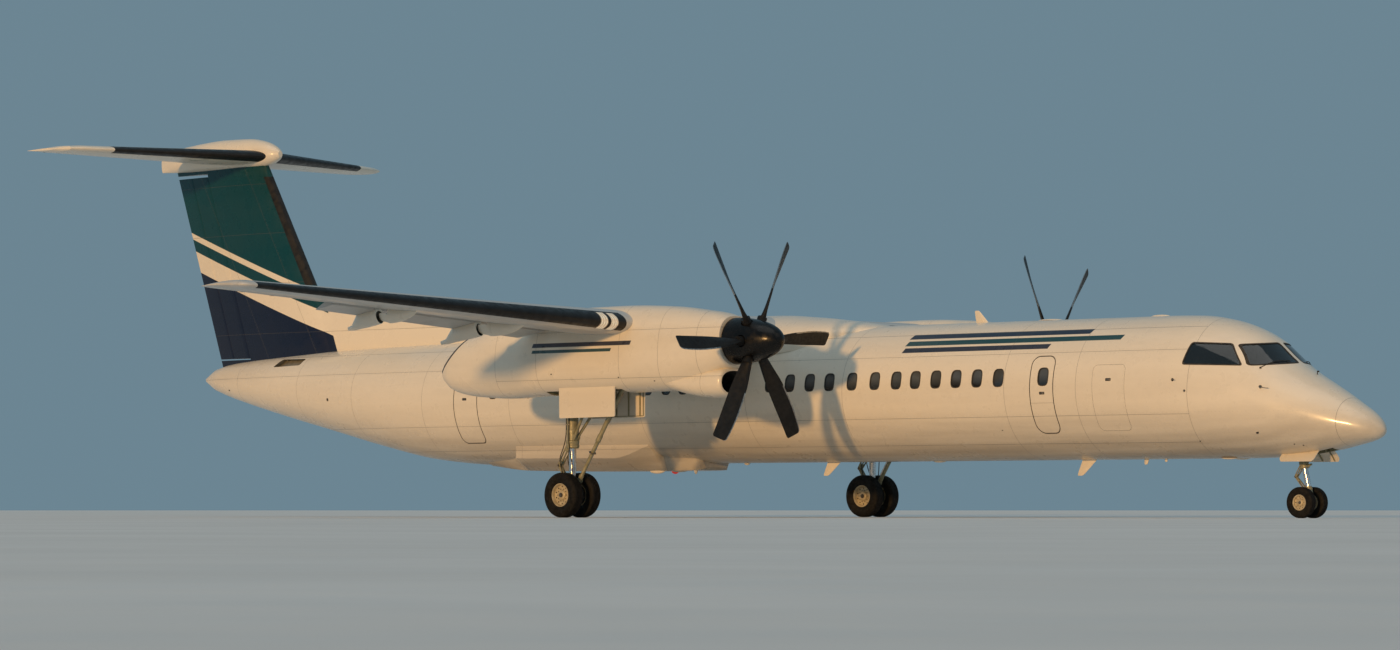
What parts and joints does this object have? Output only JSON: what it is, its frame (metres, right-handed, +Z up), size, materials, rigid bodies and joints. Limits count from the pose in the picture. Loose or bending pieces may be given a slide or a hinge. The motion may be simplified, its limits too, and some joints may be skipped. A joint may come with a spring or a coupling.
{
  "type": "twin turboprop airliner with a high wing and a T-tail, on its landing gear",
  "caption": "High-wing twin turboprop airliner parked on its landing gear, with a T-tail, turning propellers and wheels, flaps partly down and an airstair door.",
  "frame": {"origin": "on the ground below the middle of the whole length and span", "axes": "+X to the nose, +Y to the left wing, +Z up"},
  "size_m": [32.83, 28.42, 8.34],
  "materials": {
    "white_paint": "gloss",
    "teal_paint": "gloss",
    "grey_paint": "satin",
    "spinner_paint": "satin",
    "blade_paint": "satin",
    "gear_metal": "satin",
    "rim_paint": "satin",
    "engine_steel": "satin",
    "tyre_rubber": "matte",
    "glazing": "gloss",
    "deck_trim": "matte"
  },
  "bodies": {
    "airframe": {"radome": "white_paint", "nose_section": "white_paint", "windshield_right": "glazing", "windshield_left": "glazing", "side_window_right": "glazing", "side_window_left": "glazing", "flight_deck_interior": "deck_trim", "forward_fuselage": "white_paint", "centre_fuselage": "white_paint", "belly_fairing": "white_paint", "wing_root_fairing": "white_paint", "aft_fuselage": "white_paint", "tail_cone": "white_paint", "wing_centre": "white_paint", "wing_outer_right": "white_paint", "wing_outer_left": "white_paint", "nacelle_right": "white_paint", "nacelle_left": "white_paint", "engine_right": "engine_steel", "engine_left": "engine_steel", "main_leg_right": "gear_metal", "main_leg_left": "gear_metal", "main_door_inner_right": "white_paint", "main_door_outer_right": "white_paint", "main_door_inner_left": "white_paint", "main_door_outer_left": "white_paint", "nose_gear_strut": "gear_metal", "nose_door_right": "white_paint", "nose_door_left": "white_paint", "fin": "teal_paint", "tailplane": "white_paint"},
    "propeller_right": {"propeller_right": "blade_paint", "spinner_right": "spinner_paint"},
    "propeller_left": {"propeller_left": "blade_paint", "spinner_left": "spinner_paint"},
    "main_wheels_right": {"main_right_wheels": "rim_paint", "main_right_tyre_right": "tyre_rubber", "main_right_tyre_left": "tyre_rubber"},
    "main_wheels_left": {"main_left_wheels": "rim_paint", "main_left_tyre_right": "tyre_rubber", "main_left_tyre_left": "tyre_rubber"},
    "nose_fork": {"nose_gear_fork": "gear_metal"},
    "nose_wheels": {"nose_wheels": "rim_paint", "nose_tyre_right": "tyre_rubber", "nose_tyre_left": "tyre_rubber"},
    "rudder_fore": {"rudder_fore": "teal_paint"},
    "rudder_trailing": {"rudder_trailing": "teal_paint"},
    "elevator_right": {"elevator_right": "white_paint"},
    "elevator_left": {"elevator_left": "white_paint"},
    "aileron_right": {"aileron_right": "white_paint"},
    "aileron_left": {"aileron_left": "white_paint"},
    "flap_inner_right": {"flap_inner_right": "grey_paint"},
    "flap_inner_left": {"flap_inner_left": "grey_paint"},
    "flap_outer_right": {"flap_outer_right": "grey_paint"},
    "flap_outer_left": {"flap_outer_left": "grey_paint"},
    "airstair_door": {"airstair_door": "white_paint"}
  },
  "joints": [
    {"name": "propeller_right_spin", "type": "hinge", "parent": "airframe", "child": "propeller_right", "pos_m": [5.53, -4.4, 3.27], "axis": [1, 0, 0], "continuous": true},
    {"name": "propeller_left_spin", "type": "hinge", "parent": "airframe", "child": "propeller_left", "pos_m": [5.53, 4.4, 3.27], "axis": [1, 0, 0], "continuous": true},
    {"name": "main_wheels_right_spin", "type": "hinge", "parent": "airframe", "child": "main_wheels_right", "pos_m": [0.83, -4.4, 0.42928], "axis": [0, 1, 0], "continuous": true},
    {"name": "main_wheels_left_spin", "type": "hinge", "parent": "airframe", "child": "main_wheels_left", "pos_m": [0.83, 4.4, 0.42928], "axis": [0, 1, 0], "continuous": true},
    {"name": "nose_steering", "type": "hinge", "parent": "airframe", "child": "nose_fork", "pos_m": [14.865, 0, 0.27711], "axis": [-0.225, 0, 0.9744], "range_deg": [-70, 70]},
    {"name": "nose_wheels_spin", "type": "hinge", "parent": "nose_fork", "child": "nose_wheels", "pos_m": [14.77, 0, 0.27711], "axis": [0, 1, 0], "continuous": true},
    {"name": "rudder_hinge", "type": "hinge", "parent": "airframe", "child": "rudder_fore", "pos_m": [-13.31266, 0, 3.475], "axis": [-0.3377, 0, 0.9413], "range_deg": [-18, 18]},
    {"name": "rudder_trailing_hinge", "type": "hinge", "parent": "rudder_fore", "child": "rudder_trailing", "pos_m": [-13.90266, 0, 3.475], "axis": [-0.3377, 0, 0.9413], "range_deg": [-18, 18]},
    {"name": "elevator_right_hinge", "type": "hinge", "parent": "airframe", "child": "elevator_right", "pos_m": [-14.73, -2.3, 7.9], "axis": [0, 1, 0], "range_deg": [-17, 25]},
    {"name": "elevator_left_hinge", "type": "hinge", "parent": "airframe", "child": "elevator_left", "pos_m": [-14.73, 2.3, 7.9], "axis": [0, 1, 0], "range_deg": [-17, 25]},
    {"name": "aileron_right_hinge", "type": "hinge", "parent": "airframe", "child": "aileron_right", "pos_m": [1.29103, -10.99, 3.94207], "axis": [-0.081, 0.9958, -0.0425], "range_deg": [-18, 18]},
    {"name": "aileron_left_hinge", "type": "hinge", "parent": "airframe", "child": "aileron_left", "pos_m": [1.29103, 10.99, 3.94207], "axis": [0.081, 0.9958, 0.0425], "range_deg": [-18, 18]},
    {"name": "flap_inner_right_track", "type": "hinge", "parent": "airframe", "child": "flap_inner_right", "pos_m": [0.8275, -1.5, 2.98538], "axis": [0, 1, 0], "range_deg": [-20, 15]},
    {"name": "flap_inner_left_track", "type": "hinge", "parent": "airframe", "child": "flap_inner_left", "pos_m": [0.8275, 1.5, 2.98538], "axis": [0, 1, 0], "range_deg": [-20, 15]},
    {"name": "flap_outer_right_track", "type": "hinge", "parent": "airframe", "child": "flap_outer_right", "pos_m": [0.83507, -5.045, 2.98942], "axis": [-0.0793, 0.9959, -0.0425], "range_deg": [-20, 15]},
    {"name": "flap_outer_left_track", "type": "hinge", "parent": "airframe", "child": "flap_outer_left", "pos_m": [0.83507, 5.045, 2.98942], "axis": [0.0793, 0.9959, 0.0425], "range_deg": [-20, 15]},
    {"name": "airstair_door_hinge", "type": "hinge", "parent": "airframe", "child": "airstair_door", "pos_m": [9.85, 1.012, 1.512], "axis": [-1, 0, 0], "range_deg": [0, 125]}
  ],
  "couplings": [
    {"joint": "rudder_trailing_hinge", "follows": "rudder_hinge", "ratio": 1},
    {"joint": "elevator_left_hinge", "follows": "elevator_right_hinge", "ratio": 1},
    {"joint": "aileron_left_hinge", "follows": "aileron_right_hinge", "ratio": -1},
    {"joint": "flap_inner_left_track", "follows": "flap_inner_right_track", "ratio": 1},
    {"joint": "flap_outer_right_track", "follows": "flap_inner_right_track", "ratio": 1},
    {"joint": "flap_outer_left_track", "follows": "flap_inner_right_track", "ratio": 1}
  ]
}
